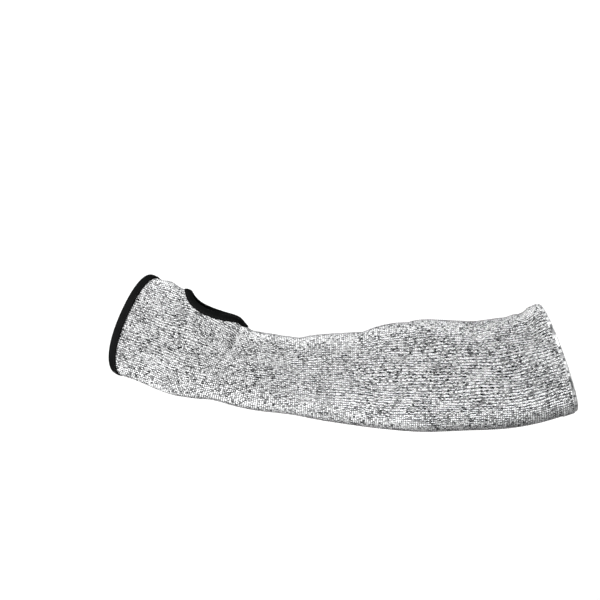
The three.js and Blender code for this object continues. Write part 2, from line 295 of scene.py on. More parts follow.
def holeEdge(turn):
    # the cut edge of the thumb hole: an egg whose wide end points at the hand opening
    along = holeMiddle - np.cos(turn) * sleeve["thumbHoleLength"] / 2
    share = np.sin(turn) * (1 + taper * np.cos(turn)) / widestShare
    reach = share * np.where(share < 0, sleeve["backReach"], sleeve["palmReach"])
    return along, angleRound(along, reach)


def inHole(along, angle, margin):
    # whether a place lies inside the egg grown by a margin
    cosine = (holeMiddle - along) / (sleeve["thumbHoleLength"] / 2 + margin)
    near = np.abs(cosine) < 1
    share = np.sqrt(np.clip(1 - cosine**2, 0, 1)) * (1 + taper * cosine) / widestShare
    wrapped = np.mod(angle, fullTurn)
    distance = thumbDistance(along, wrapped)
    return near & (distance > -share * (sleeve["backReach"] + margin)) & (
        distance < share * (sleeve["palmReach"] + margin)) & (wrapped < np.pi)


def slide(along, angle, direction, distance):
    # moves places over the surface by a distance in a direction, in short strides
    strides = 5
    for _ in range(strides):
        alongSlope, roundSlope, _normal = frameAt(along, angle)
        aa = (alongSlope**2).sum(-1)
        ar = (alongSlope * roundSlope).sum(-1)
        rr = (roundSlope**2).sum(-1)
        da = (direction * alongSlope).sum(-1)
        dr = (direction * roundSlope).sum(-1)
        scale = distance / strides / (aa * rr - ar * ar)
        along = along + scale * (da * rr - dr * ar)
        angle = angle + scale * (dr * aa - da * ar)
    return along, angle


def inset(maps, margin):
    # draws a map of 0 to 1 in from its borders
    return margin + (1 - 2 * margin) * maps


def signedVolume(points, quads):
    # a sixth of the sum of each triangle's determinant, the quads cut in two
    total = 0.0
    for a, b, c in ((0, 1, 2), (0, 2, 3)):
        p, q, r = points[quads[:, a]], points[quads[:, b]], points[quads[:, c]]
        total += float((p * np.cross(q, r)).sum()) / 6
    return total


def addPiece(name, points, faces, uvs, materials, faceMaterials=None, bakeUvs=None):
    # puts points in millimetres and faces of four or three corners into a mesh object at the origin
    mesh = bpy.data.meshes.new(name)
    corners = np.concatenate([np.ravel(f) for f in faces]).astype(np.int32)
    sizes = np.concatenate([np.full(len(f), f.shape[1]) for f in faces]).astype(np.int32)
    mesh.vertices.add(len(points))
    mesh.vertices.foreach_set("co", np.ascontiguousarray(points * mm, np.float32).ravel())
    mesh.loops.add(len(corners))
    mesh.loops.foreach_set("vertex_index", corners)
    mesh.polygons.add(len(sizes))
    starts = np.concatenate([[0], np.cumsum(sizes)[:-1]]).astype(np.int32)
    mesh.polygons.foreach_set("loop_start", starts)
    mesh.polygons.foreach_set("use_smooth", np.ones(len(sizes), bool))
    for material in materials:
        mesh.materials.append(material)
    if faceMaterials is not None:
        mesh.polygons.foreach_set("material_index", faceMaterials.astype(np.int32))
    mesh.update(calc_edges=True)
    for label, values in [("pattern", uvs), ("OFBake", bakeUvs)]:
        if values is not None:
            layer = mesh.uv_layers.new(name=label, do_init=False)
            layer.uv.foreach_set("vector", np.ascontiguousarray(values, np.float32).ravel())
    mesh.validate(clean_customdata=False)
    piece = bpy.data.objects.new(name, mesh)
    bpy.context.collection.objects.link(piece)
    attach(piece, "root")
    return piece


# Materials

def newMaterial(name):
    # a material, its node tree and its shader
    material = bpy.data.materials.new(name)
    material.use_nodes = True
    nodes, links = material.node_tree.nodes, material.node_tree.links
    return material, nodes, links, nodes["Principled BSDF"]


def mathIn(nodes, links):
    # gives the function that adds one Math node to a tree; an input may be a number or a socket
    def calc(operation, first, second=None, clamp=False):
        node = nodes.new("ShaderNodeMath")
        node.operation = operation
        node.use_clamp = clamp
        for socket, value in zip(node.inputs, (first, second)):
            if isinstance(value, (int, float)):
                socket.default_value = value
            elif value is not None:
                links.new(value, socket)
        return node.outputs[0]
    return calc


def ramp(nodes, links, factor, stops):
    # colour ramp through places and their colours
    node = nodes.new("ShaderNodeValToRGB")
    elements = node.color_ramp.elements
    while len(elements) < len(stops):
        elements.new(0.5)
    for element, (place, colour) in zip(elements, stops):
        element.position = place
        element.color = (*colour, 1)
    links.new(factor, node.inputs["Fac"])
    return node.outputs["Color"]


def noiseAt(nodes, links, place, scale, detail):
    # noise round a half, scale in waves a metre
    noise = nodes.new("ShaderNodeTexNoise")
    noise.inputs["Scale"].default_value = scale
    noise.inputs["Detail"].default_value = detail
    links.new(place, noise.inputs["Vector"])
    return noise.outputs["Fac"]


def patternParts(nodes, links):
    # the two numbers of the pattern map
    grid = nodes.new("ShaderNodeUVMap")
    grid.uv_map = "pattern"
    split = nodes.new("ShaderNodeSeparateXYZ")
    links.new(grid.outputs["UV"], split.inputs[0])
    return split.outputs[0], split.outputs[1]


def addBump(nodes, links, shader, height, distance, strength=1.0):
    # tilts the shader's normal by the slope of a height, distance in metres
    bump = nodes.new("ShaderNodeBump")
    bump.inputs["Distance"].default_value = distance
    bump.inputs["Strength"].default_value = strength
    links.new(height, bump.inputs["Height"])
    links.new(bump.outputs["Normal"], shader.inputs["Normal"])


yarn = {
    "shades": [  # melange: share of the yarn up to here, and its colour
        (0.00, (0.012, 0.013, 0.014)),
        (0.32, (0.020, 0.022, 0.024)),
        (0.39, (0.38, 0.385, 0.39)),
        (0.50, (0.86, 0.865, 0.87)),
        (1.00, (0.96, 0.965, 0.97)),
    ],
    "legShare": 0.8,  # how much of a leg's shade is its own, and not its loop's
    "strandTwists": 2.2, "strandContrast": 0.12, "strandSlant": 0.6, "strandTurns": 7.0,
    "patchScale": 55.0, "patchDetail": 2, "patchDepth": 0.48,
    "fibreScale": 900.0, "fibreDetail": 3, "grain": 0.25,
    "twistRise": 0.5, "rise": 0.00012, "riseStrength": 0.6,
    "roughness": 0.85, "specular": 0.15,
    # painted shade: the colour falls where the tube is seen edge on, for the light that its loops hide
    # from each other
    "edgePaintedShade": 0.92, "edgeShadePower": 2.5,  # the colour's fall where the tube is seen edge on
    # painted shade: the ground that shows between the legs is darkened, for the shadow in the gaps
    "groundPaintedShade": 0.2, "insideDarken": 0.85, "insideEven": 0.78, "middle": 0.42,
    "purlDip": 0.22, "purlFibre": 0.2, "purlRise": 0.0006, "purlStrength": 0.8,
}


def melangeGroup():
    # shade of the two-tone yarn at a leg: its own random draw mixed with its loop's, shifted by the
    # twist of its two strands, by patches where one tone prevails and by a fine grain
    group = bpy.data.node_groups.new("yarnMelange", "ShaderNodeTree")
    face = group.interface
    for name in ("Cell", "Place", "Strand"):
        face.new_socket(name, in_out="INPUT", socket_type="NodeSocketVector")
    for name, value in [("Twists", yarn["strandTwists"]), ("Contrast", yarn["strandContrast"]),
                        ("Patches", yarn["patchDepth"])]:
        face.new_socket(name, in_out="INPUT", socket_type="NodeSocketFloat").default_value = value
    for name in ("Shade", "Fibre"):
        face.new_socket(name, in_out="OUTPUT", socket_type="NodeSocketFloat")
    nodes, links = group.nodes, group.links
    calc = mathIn(nodes, links)
    given, made = nodes.new("NodeGroupInput"), nodes.new("NodeGroupOutput")
    whole = nodes.new("ShaderNodeVectorMath")
    whole.operation = "FLOOR"
    links.new(given.outputs["Cell"], whole.inputs[0])
    loopDraw, legDraw = (nodes.new("ShaderNodeTexWhiteNoise") for _ in range(2))
    links.new(whole.outputs[0], loopDraw.inputs["Vector"])
    links.new(given.outputs["Cell"], legDraw.inputs["Vector"])
    shared = calc("MULTIPLY", loopDraw.outputs["Value"], 1 - yarn["legShare"])
    draw = calc("ADD", shared, calc("MULTIPLY", legDraw.outputs["Value"], yarn["legShare"]))
    split = nodes.new("ShaderNodeSeparateXYZ")
    links.new(given.outputs["Strand"], split.inputs[0])
    run = calc("MULTIPLY", split.outputs[0], given.outputs["Twists"])
    phase = calc("ADD", run, calc("MULTIPLY", split.outputs[1], yarn["strandSlant"]))
    phase = calc("ADD", phase, calc("MULTIPLY", draw, yarn["strandTurns"]))
    wave = calc("SINE", calc("MULTIPLY", phase, fullTurn))
    place = given.outputs["Place"]
    patches = noiseAt(nodes, links, place, yarn["patchScale"], yarn["patchDetail"])
    fibres = noiseAt(nodes, links, place, yarn["fibreScale"], yarn["fibreDetail"])
    twist = calc("MULTIPLY", wave, given.outputs["Contrast"])
    lean = calc("MULTIPLY", calc("SUBTRACT", patches, 0.5), given.outputs["Patches"])
    grain = calc("MULTIPLY", calc("SUBTRACT", fibres, 0.5), yarn["grain"])
    shade = calc("ADD", calc("ADD", draw, twist), lean)
    links.new(calc("ADD", shade, grain, clamp=True), made.inputs["Shade"])
    links.new(calc("ADD", calc("MULTIPLY", wave, yarn["twistRise"]), fibres), made.inputs["Fibre"])
    return group


melange = melangeGroup()


def yarnMaterial(name, darken=1.0, even=0.0, legs=False):
    # knit yarn, without its bump. Separate legs have a map of their own for the number of their loop;
    # elsewhere it is the whole part of the pattern map, and the rest runs along and across the strand.
    # even draws the shades towards the middle one, for a face where both tones lie mixed
    material, nodes, links, shader = newMaterial(name)
    calc = mathIn(nodes, links)
    pattern = nodes.new("ShaderNodeUVMap")
    pattern.uv_map = "pattern"
    weight = nodes.new("ShaderNodeLayerWeight")
    if legs:
        loop = nodes.new("ShaderNodeUVMap")
        loop.uv_map = "loop"
        cell, strand = loop.outputs["UV"], pattern.outputs["UV"]
        # the legs stand out of the tube, so the facing for the painted edge shade is taken from the
        # tube's own normal
        tubeNormal = nodes.new("ShaderNodeAttribute")
        tubeNormal.attribute_name = "outward"
        toWorld = nodes.new("ShaderNodeVectorTransform")
        toWorld.vector_type = "NORMAL"
        toWorld.convert_from, toWorld.convert_to = "OBJECT", "WORLD"
        links.new(tubeNormal.outputs["Vector"], toWorld.inputs[0])
        links.new(toWorld.outputs[0], weight.inputs["Normal"])
    else:
        whole, rest = (nodes.new("ShaderNodeVectorMath") for _ in range(2))
        whole.operation, rest.operation = "FLOOR", "FRACTION"
        for node in (whole, rest):
            links.new(pattern.outputs["UV"], node.inputs[0])
        cell, strand = whole.outputs[0], rest.outputs[0]
    mix = nodes.new("ShaderNodeGroup")
    mix.node_tree = melange
    links.new(cell, mix.inputs["Cell"])
    links.new(strand, mix.inputs["Strand"])
    links.new(nodes.new("ShaderNodeTexCoord").outputs["Object"], mix.inputs["Place"])
    # darken scales every shade down; for the ground between the legs it is painted shade in the gaps
    stops = [(at, tuple(c * darken for c in colour)) for at, colour in yarn["shades"]]
    shade = mix.outputs["Shade"]
    if even:
        shade = calc("ADD", calc("MULTIPLY", shade, 1 - even), even * yarn["middle"])
    # painted shade: where the tube is seen edge on, its loops hide the light from each other, so the
    # colour falls with a power of the facing
    paintedEdgeShade = calc("POWER", weight.outputs["Facing"], yarn["edgeShadePower"])
    kept = calc("SUBTRACT", 1.0, calc("MULTIPLY", paintedEdgeShade, yarn["edgePaintedShade"]))
    scaled = nodes.new("ShaderNodeVectorMath")
    scaled.operation = "SCALE"
    links.new(ramp(nodes, links, shade, stops), scaled.inputs[0])
    links.new(kept, scaled.inputs["Scale"])
    links.new(scaled.outputs[0], shader.inputs["Base Color"])
    shader.inputs["Roughness"].default_value = yarn["roughness"]
    shader.inputs["Specular IOR Level"].default_value = yarn["specular"]
    return material, nodes, links, shader, mix.outputs["Fibre"]


def outsideMaterial(name, darken=1.0, legs=False):
    # the knit's outer face, ribbed by the yarn's twist and fibres
    material, nodes, links, shader, fibre = yarnMaterial(name, darken, legs=legs)
    addBump(nodes, links, shader, fibre, yarn["rise"], yarn["riseStrength"])
    return material


def insideMaterial():
    # the knit's inner face: rows of purl bumps, each an arc that dips between two wales
    material, nodes, links, shader, fibre = yarnMaterial("knitInside", yarn["insideDarken"],
                                                        yarn["insideEven"])
    calc = mathIn(nodes, links)
    wale, course = patternParts(nodes, links)
    dip = calc("COSINE", calc("MULTIPLY", wale, fullTurn))
    row = calc("ADD", course, calc("MULTIPLY", dip, yarn["purlDip"]))
    arc = calc("SINE", calc("MULTIPLY", row, fullTurn))
    height = calc("ADD", calc("MULTIPLY", arc, 0.5), 0.5)
    height = calc("ADD", height, calc("MULTIPLY", fibre, yarn["purlFibre"]))
    addBump(nodes, links, shader, height, yarn["purlRise"], yarn["purlStrength"])
    return material


tape = {
    "colour": (0.0012, 0.0013, 0.0013), "light": (0.0050, 0.0052, 0.0053),
    "ribPitch": 0.55, "weftPitch": 0.62, "weave": 0.35, "ribWander": 0.35,
    "ribRise": 0.00010, "ribStrength": 0.8,
    "bloomScale": 140.0, "bloomDetail": 4, "lintScale": 1400.0, "lintDetail": 2,
    "bloomTone": 0.7, "weaveTone": 0.35, "lintTone": 0.25,
    "roughness": 0.62, "bloomRoughness": 0.2, "specular": 0.03,
    "rings": {"hand": 620, "thumb": 440},
    "edgeSteps": 6, "topSteps": 14, "foldSteps": 15, "innerSteps": 5,
    "crown": 0.22, "dip": 0.12, "dipStart": 2.0, "dipLength": 3.0,
    "innerEnd": 0.6, "innerStart": 0.3, "innerSag": 0.1,
    "stitchPitch": 2.7, "stitchInto": 4.1, "pucker": 0.16, "puckerWidth": 0.7, "puckerEven": 0.65,
    "ripple": 0.07, "sway": 0.12, "rippleStart": 1.0, "rippleReach": 4.0,
    "rippleLength": 17.3, "rippleTurn": 1.7, "rippleDrift": 41.0,
}


def tapeMaterial():
    # woven black tape: ribs across its width crossed by the weft, a worn bloom and a few lighter
    # fibres
    material, nodes, links, shader = newMaterial("blackTape")
    calc = mathIn(nodes, links)
    run, across = patternParts(nodes, links)
    place = nodes.new("ShaderNodeTexCoord").outputs["Object"]
    bloom = noiseAt(nodes, links, place, tape["bloomScale"], tape["bloomDetail"])
    lint = noiseAt(nodes, links, place, tape["lintScale"], tape["lintDetail"])
    along = calc("ADD", run, calc("MULTIPLY", bloom, tape["ribWander"]))
    warp = calc("SINE", calc("MULTIPLY", along, fullTurn / tape["ribPitch"]))
    weft = calc("SINE", calc("MULTIPLY", across, fullTurn / tape["weftPitch"]))
    weave = calc("ADD", calc("MULTIPLY", warp, weft), warp)
    weave = calc("MULTIPLY", weave, tape["weave"])
    tone = calc("MULTIPLY", bloom, tape["bloomTone"])
    tone = calc("ADD", tone, calc("MULTIPLY", weave, tape["weaveTone"]))
    tone = calc("ADD", tone, calc("MULTIPLY", lint, tape["lintTone"]), clamp=True)
    links.new(ramp(nodes, links, tone, [(0.25, tape["colour"]), (0.95, tape["light"])]),
              shader.inputs["Base Color"])
    rough = calc("ADD", tape["roughness"], calc("MULTIPLY", bloom, tape["bloomRoughness"]))
    links.new(rough, shader.inputs["Roughness"])
    shader.inputs["Specular IOR Level"].default_value = tape["specular"]
    addBump(nodes, links, shader, weave, tape["ribRise"], tape["ribStrength"])
    return material


thread = {
    "thickness": 0.24, "rise": 0.30, "sunk": 0.15, "bare": 0.10, "spokes": 6,
    "taper": (0.35, 0.9, 1, 1, 1, 0.9, 0.35),  # thickness from end to end of a stitch
    "dark": (0.003, 0.003, 0.003), "light": (0.012, 0.012, 0.012),
    "roughness": 0.7, "specular": 0.06, "plies": 4.0, "plyRise": 0.00006,
}


def threadMaterial():
    # dull black sewing thread, its ply drawn as slanting bands
    material, nodes, links, shader = newMaterial("blackThread")
    calc = mathIn(nodes, links)
    run, across = patternParts(nodes, links)
    phase = calc("ADD", calc("MULTIPLY", run, thread["plies"]), across)
    ply = calc("SINE", calc("MULTIPLY", phase, fullTurn))
    height = calc("ADD", calc("MULTIPLY", ply, 0.5), 0.5)
    links.new(ramp(nodes, links, height, [(0.2, thread["dark"]), (0.9, thread["light"])]),
              shader.inputs["Base Color"])
    shader.inputs["Roughness"].default_value = thread["roughness"]
    shader.inputs["Specular IOR Level"].default_value = thread["specular"]
    addBump(nodes, links, shader, height, thread["plyRise"])
    return material


# Knit

knit = {
    "wales": 110, "coursePitch": 1.7, "seam": 0.5,  # the seam is a share of the way round
    "legLean": 0.14, "legRoot": 0.10, "legHalfWidth": 0.145,  # shares of a wale
    "legLength": 1.42, "legStart": -0.25, "legSteps": (0.0, 0.30, 0.66, 1.0),  # shares of a course
    "ridge": 0.45, "flank": -0.10, "tip": -0.62, "ground": -0.55, "liftJitter": 0.35,
    "jitter": 0.06, "seed": 41,
    "wobble": 0.35, "longWave": 23.0, "longTurn": 9.0,
    "shortWave": 9.5, "shortWaves": 3, "shortShare": 0.6,
    "columns": 224, "rows": 150, "rim": 5, "rimPitch": 0.3,
    "edgeMargin": 0.4, "holeMargin": 0.9, "legEdgeMargin": 0.8, "legHoleMargin": 1.6,
    "lastCourse": 1.1, "overhang": 0.3, "tileMargin": 0.12,
}


def waleDrift(along, share):
    # wales wander a little as cloth is pulled about: sums of long sines, as a share of the way round
    slow = np.sin(along / knit["longWave"] + knit["longTurn"] * np.sin(fullTurn * share))
    quick = np.sin(along / knit["shortWave"] + knit["shortWaves"] * fullTurn * share)
    return knit["wobble"] / knit["wales"] * (slow + knit["shortShare"] * quick)


def knitGround(outside, inside):
    # closed tube: rings of the outside from the hand to the arm end, round the rim, and of the inside
    # back again, with the cells inside the thumb hole left out and its wall closed between both faces
    rows, columns, rim = knit["rows"], knit["columns"], knit["rim"]
    part = np.linspace(0, 1, rows + 1)[:, None]
    share = (np.arange(columns) / columns)[None, :] + knit["seam"]
    along = -sleeve["palmLength"] + part * (sleeve["armLength"] + sleeve["palmLength"]) + 0 * share
    for _ in range(settleRounds):
        start = openingEdge(angleAt(along, share)) + knit["edgeMargin"]
        along = start + part * (sleeve["armLength"] - start)
    angle = angleAt(along, share)
    outer = offsetAt(along, angle, np.full(along.shape, knit["ground"]))
    intoWelt = along - sleeve["armLength"] + sleeve["weltLength"]
    hem = sleeve["weltHem"] * smooth(intoWelt / sleeve["weltStep"])
    inner = offsetAt(along, angle, -sleeve["knitWall"] - hem)
    top, bottom = outer[-1], inner[-1]
    forward = frameAt(along[-1], angle[-1])[0]
    forward = forward / np.linalg.norm(forward, axis=-1, keepdims=True)
    rimStep = np.arange(1, rim + 1)
    turn = (rimStep / (rim + 1) * np.pi)[:, None, None]
    half = np.linalg.norm(top - bottom, axis=-1, keepdims=True)[None] / 2
    across = (top - bottom)[None] / 2
    bend = (top + bottom)[None] / 2 + across * np.cos(turn) + forward[None] * half * np.sin(turn)
    rings = np.concatenate([outer, bend, inner[::-1]])
    v = along / knit["coursePitch"]
    rimV = np.repeat(v[-1:], rim, 0) + rimStep[:, None] * knit["rimPitch"]
    ringV = np.concatenate([v, rimV, v[::-1]])
    count = len(rings)
    middleAlong = (along[:-1] + along[1:]) / 2
    middleAngle = angleAt(middleAlong, share + 0.5 / columns)
    gone = inHole(middleAlong, middleAngle, knit["holeMargin"])
    ring, column = np.meshgrid(np.arange(count), np.arange(columns), indexing="ij")
    keep = np.ones((count, columns), bool)
    keep[:rows] = ~gone
    keep[count - 1 - rows:count - 1] = ~gone[::-1]
    corners = [np.stack([ring[keep] + dr, column[keep] + dc], -1)
               for dr, dc in ((0, 0), (0, 1), (1, 1), (1, 0))]
    walls = []
    padded = np.pad(gone, ((1, 1), (0, 0)))
    sides = [
        (~padded[:-2] & gone, (0, 0), (0, 1)),
        (~padded[2:] & gone, (1, 1), (1, 0)),
        (~np.roll(gone, 1, 1) & gone, (1, 0), (0, 0)),
        (~np.roll(gone, -1, 1) & gone, (0, 1), (1, 1)),
    ]
    for edge, first, second in sides:
        r, c = np.nonzero(edge)
        a = np.stack([r + first[0], c + first[1]], -1)
        b = np.stack([r + second[0], c + second[1]], -1)
        aInner = np.stack([count - 1 - a[:, 0], a[:, 1]], -1)
        bInner = np.stack([count - 1 - b[:, 0], b[:, 1]], -1)
        walls.append(np.stack([a, b, bInner, aInner], 1))
    quads = np.concatenate([np.stack(corners, 1), *walls])
    ringOf, columnOf = quads[..., 0], quads[..., 1]
    faces = (ringOf % count) * columns + columnOf % columns
    uvs = np.stack([columnOf / columns * knit["wales"], ringV[ringOf % count, columnOf % columns]], -1)
    bakeUvs = inset(np.stack([columnOf / columns, ringOf / count], -1), bakeMargin)
    insideFace = ringOf.min(1) >= rows - 1  # the hem's own row is drawn like the rim
    points = rings.reshape(-1, 3)
    used = np.unique(faces)
    renumber = np.zeros(len(points), int)
    renumber[used] = np.arange(len(used))
    faces, points = renumber[faces], points[used]
    volume = signedVolume(points, faces)
    if volume < 0:
        faces, uvs, bakeUvs = faces[:, ::-1], uvs[:, ::-1], bakeUvs[:, ::-1]
    print(f"knit ground: {len(faces)} quads, volume {abs(volume):.0f} cubic mm")
    return addPiece("sleeveKnit", points, [faces], uvs.reshape(-1, 2), [outside, inside],
                    insideFace.astype(int), bakeUvs.reshape(-1, 2))


def knitLoops(material):
    # every loop shows two legs that spread from its root like a V. A leg is a closed leaf: a tip, two
    # sections of left flank, ridge and right flank, and a tip, tucked down at both ends
    random = np.random.default_rng(knit["seed"])
    wales, pitch = knit["wales"], knit["coursePitch"]
    courses = int((sleeve["armLength"] + sleeve["palmLength"]) / pitch) + 1
    wale, course, side = np.meshgrid(np.arange(wales), np.arange(courses), [-1, 1], indexing="ij")
    wale, course, side = wale.ravel(), course.ravel(), side.ravel()
    jitter = knit["jitter"] * random.standard_normal((3, len(wale)))
    place = -sleeve["palmLength"] + course * pitch
    midAngle = angleAt(place + pitch / 2, (wale + 0.5) / wales)
    shown = place > openingEdge(midAngle) + knit["legEdgeMargin"]
    shown &= place + pitch * knit["lastCourse"] < sleeve["armLength"]
    shown &= ~inHole(place + pitch / 2, midAngle, knit["legHoleMargin"])
    wale, course, side, place = wale[shown], course[shown], side[shown], place[shown]
    sideways, wider, further = jitter[:, shown, None]
    # the eight points of a leg: its step along, its side and its lift; it swings out as it goes
    stations = np.array([0, 1, 1, 1, 2, 2, 2, 3])
    across = np.array([0, -1, 0, 1, -1, 0, 1, 0])
    section = [knit["flank"], knit["ridge"], knit["flank"]]
    lifts = np.array([knit["tip"], *section, *section, knit["tip"]])
    step = np.array(knit["legSteps"])[stations]
    swing = smooth(step * 1.1 - 0.05)
    u = 0.5 + side[:, None] * (knit["legRoot"] + knit["legLean"] * swing)
    u = u + across * knit["legHalfWidth"] * (1 + wider) + sideways
    along = place[:, None] + pitch * (knit["legLength"] * step + knit["legStart"] + further)
    along = np.minimum(along, sleeve["armLength"] + knit["overhang"])
    share = (wale[:, None] + u) / wales
    angle = angleAt(along, share + waleDrift(along, share))
    lift = lifts + knit["liftJitter"] * wider + 0 * along
    points = offsetAt(along, angle, lift)
    outward = offsetAt(along, angle, lift + 1) - points
    pattern = np.array([[0, 2, 1], [0, 3, 2], [1, 2, 5], [1, 5, 4],
                        [2, 3, 6], [2, 6, 5], [4, 5, 7], [5, 6, 7],
                        [0, 1, 3], [1, 4, 3], [3, 4, 6], [4, 7, 6]])
    strand = np.stack([step, across * 0.5 + 0.5], -1)
    # whole part: the loop; a quarter to either side of its middle: the leg
    cells = np.stack([wale + 0.5 + side * 0.25, course + 0.5], -1)
    pieces = []
    names = ["knitLoopsBackThumb", "knitLoopsThumbPalm", "knitLoopsPalmLittle", "knitLoopsLittleBack"]
    for part, name in enumerate(names):
        chosen = np.nonzero(wale * len(names) // wales == part)[0]
        order = np.arange(len(chosen))
        faces = (order * len(stations))[:, None, None] + pattern[None]
        strandUv = np.broadcast_to(strand[pattern][None], (len(chosen), *pattern.shape, 2))
        cellUv = np.broadcast_to(cells[chosen][:, None, None], (len(chosen), *pattern.shape, 2))
        tiles = int(np.ceil(np.sqrt(len(chosen))))
        tile = np.stack([order % tiles, order // tiles], -1)[:, None, None]
        bakeUv = (tile + inset(strandUv, knit["tileMargin"])) / tiles
        piece = addPiece(name, points[chosen].reshape(-1, 3), [faces.reshape(-1, 3)],
                         strandUv.reshape(-1, 2), [material], None, bakeUv.reshape(-1, 2))
        layer = piece.data.uv_layers.new(name="loop", do_init=False)
        layer.uv.foreach_set("vector", np.ascontiguousarray(cellUv, np.float32).ravel())
        normals = piece.data.attributes.new("outward", "FLOAT_VECTOR", "POINT")
        normals.data.foreach_set("vector", np.ascontiguousarray(outward[chosen], np.float32).ravel())
        print(f"{name}: {len(chosen)} legs, {len(chosen) * len(pattern)} triangles")
        pieces.append(piece)
    return pieces


# Tape

def tapeProfile():
    # folded tape in section: into is the distance from the cut edge into the knit, lift is above the
    # outside. Two legs with rounded edges, joined by half a turn round the edge, and back along the
    # faces that lie on the knit
    gap, thick, wall, dip = sleeve["tapeGap"], sleeve["tapeThickness"], sleeve["knitWall"], tape["dip"]
    outer = gap + thick
    nose = wall / 2 + outer
    leg = sleeve["tapeWidth"] - outer
    edge = np.linspace(-0.5, 0.5, tape["edgeSteps"]) * np.pi
    edgeInto = leg - thick / 2 + np.cos(edge) * thick / 2
    edgeLift = gap - dip + thick / 2 + np.sin(edge) * thick / 2
    top = np.linspace(leg - thick / 2, nose - outer, tape["topSteps"])[1:-1]
    fold = np.linspace(0.5, 1.5, tape["foldSteps"]) * np.pi
    into = np.concatenate([edgeInto, top, nose - outer + nose * np.cos(fold), top[::-1], edgeInto[::-1]])
    crown = tape["crown"] * np.sin(np.clip((leg - top) / (leg - nose + outer), 0, 1) * np.pi)
    topLift = outer + crown - dip * smooth((top - tape["dipStart"]) / tape["dipLength"])
    lift = np.concatenate([edgeLift, topLift, -wall / 2 + nose * np.sin(fold),
                           -wall - topLift[::-1], -wall - edgeLift[::-1]])
    inner = np.linspace(leg - tape["innerEnd"], tape["innerStart"] - gap, tape["innerSteps"])
    innerLift = np.full(len(inner), gap - tape["innerSag"])
    into = np.concatenate([into, inner, inner[::-1]])
    lift = np.concatenate([lift, -wall - innerLift, innerLift])
    return into, lift


def ringOfTape(name, edge, rings, material):
    # the profile carried round an edge, pressed in by each stitch and rippled in between. edge holds
    # the cut edge's along and angle and the direction into the knit, all for each ring, and its length
    place, away, length = edge
    into, lift = tapeProfile()
    run = np.arange(rings) / rings * length
    stitch = np.cos(run / tape["stitchPitch"] * fullTurn)[:, None]
    ripple = run / tape["rippleLength"] + tape["rippleTurn"] * np.sin(run / tape["rippleDrift"])
    ripple = np.sin(ripple)[:, None] * smooth((into[None] - tape["rippleStart"]) / tape["rippleReach"])
    nearStitch = np.exp(-(((into[None] - tape["stitchInto"]) / tape["puckerWidth"]) ** 2))
    even = tape["puckerEven"]
    dent = nearStitch * (even + (1 - even) * stitch) * tape["pucker"]
    moved = lift[None] + np.where(lift[None] > 0, tape["ripple"] * ripple - dent,
                                  dent * (lift[None] < -sleeve["knitWall"]))
    edgeAlong = np.repeat(place[0][:, None], len(into), 1)
    edgeAngle = np.repeat(place[1][:, None], len(into), 1)
    along, angle = slide(edgeAlong, edgeAngle, away[:, None, :], into[None] + tape["sway"] * ripple)
    points = offsetAt(along, angle, moved).reshape(-1, 3)
    width = len(into)
    i, j = np.meshgrid(np.arange(rings), np.arange(width), indexing="ij")
    i, j = i.ravel(), j.ravel()
    nextI, nextJ = (i + 1) % rings, (j + 1) % width
    quads = np.stack([i * width + j, i * width + nextJ, nextI * width + nextJ, nextI * width + j], -1)
    walk = np.concatenate([[0], np.cumsum(np.hypot(np.diff(into), np.diff(lift)))])
    around = walk[-1] + np.hypot(into[0] - into[-1], lift[0] - lift[-1])
    closed = np.concatenate([walk, [around]])
    u = np.stack([i, i, i + 1, i + 1], -1) / rings * length
    v = closed[np.stack([j, j + 1, j + 1, j], -1)]
    uvs = np.stack([u, v], -1)
    bakeUvs = inset(np.stack([u / length, v / around], -1), bakeMargin)
    if signedVolume(points, quads) < 0:
        quads, uvs, bakeUvs = quads[:, ::-1], uvs[:, ::-1], bakeUvs[:, ::-1]
    print(f"{name}: {len(quads)} quads, {length:.0f} mm round")
    return addPiece(name, points, [quads], uvs.reshape(-1, 2), [material], None,
                    bakeUvs.reshape(-1, 2))


def evenPlaces(curve, rings):
    # places spread evenly by length round a closed edge, the directions that lie in the knit and
    # square to the edge, and its whole length
    fine = np.linspace(0, fullTurn, 2 * tableColumns - 1)
    points = surfaceAt(*curve(fine))
    walk = np.concatenate([[0], np.cumsum(np.linalg.norm(np.diff(points, axis=0), axis=-1))])
    turn = np.interp(np.arange(rings) / rings * walk[-1], walk, fine)
    along, angle = curve(turn)
    nudge = 0.01
    tangent = surfaceAt(*curve(turn + nudge)) - surfaceAt(*curve(turn - nudge))
    tangent = tangent / np.linalg.norm(tangent, axis=-1, keepdims=True)
    away = np.cross(frameAt(along, angle)[2], tangent)
    return (along, angle), away, walk[-1]


def handEdge(turn):
    # the hand opening's cut edge, walked by shares of the way round
    share = turn / fullTurn
    along = np.full(np.shape(turn), -sleeve["palmLength"])
    for _ in range(settleRounds):
        angle = angleAt(along, share)
        along = openingEdge(angle)
    return along, angle


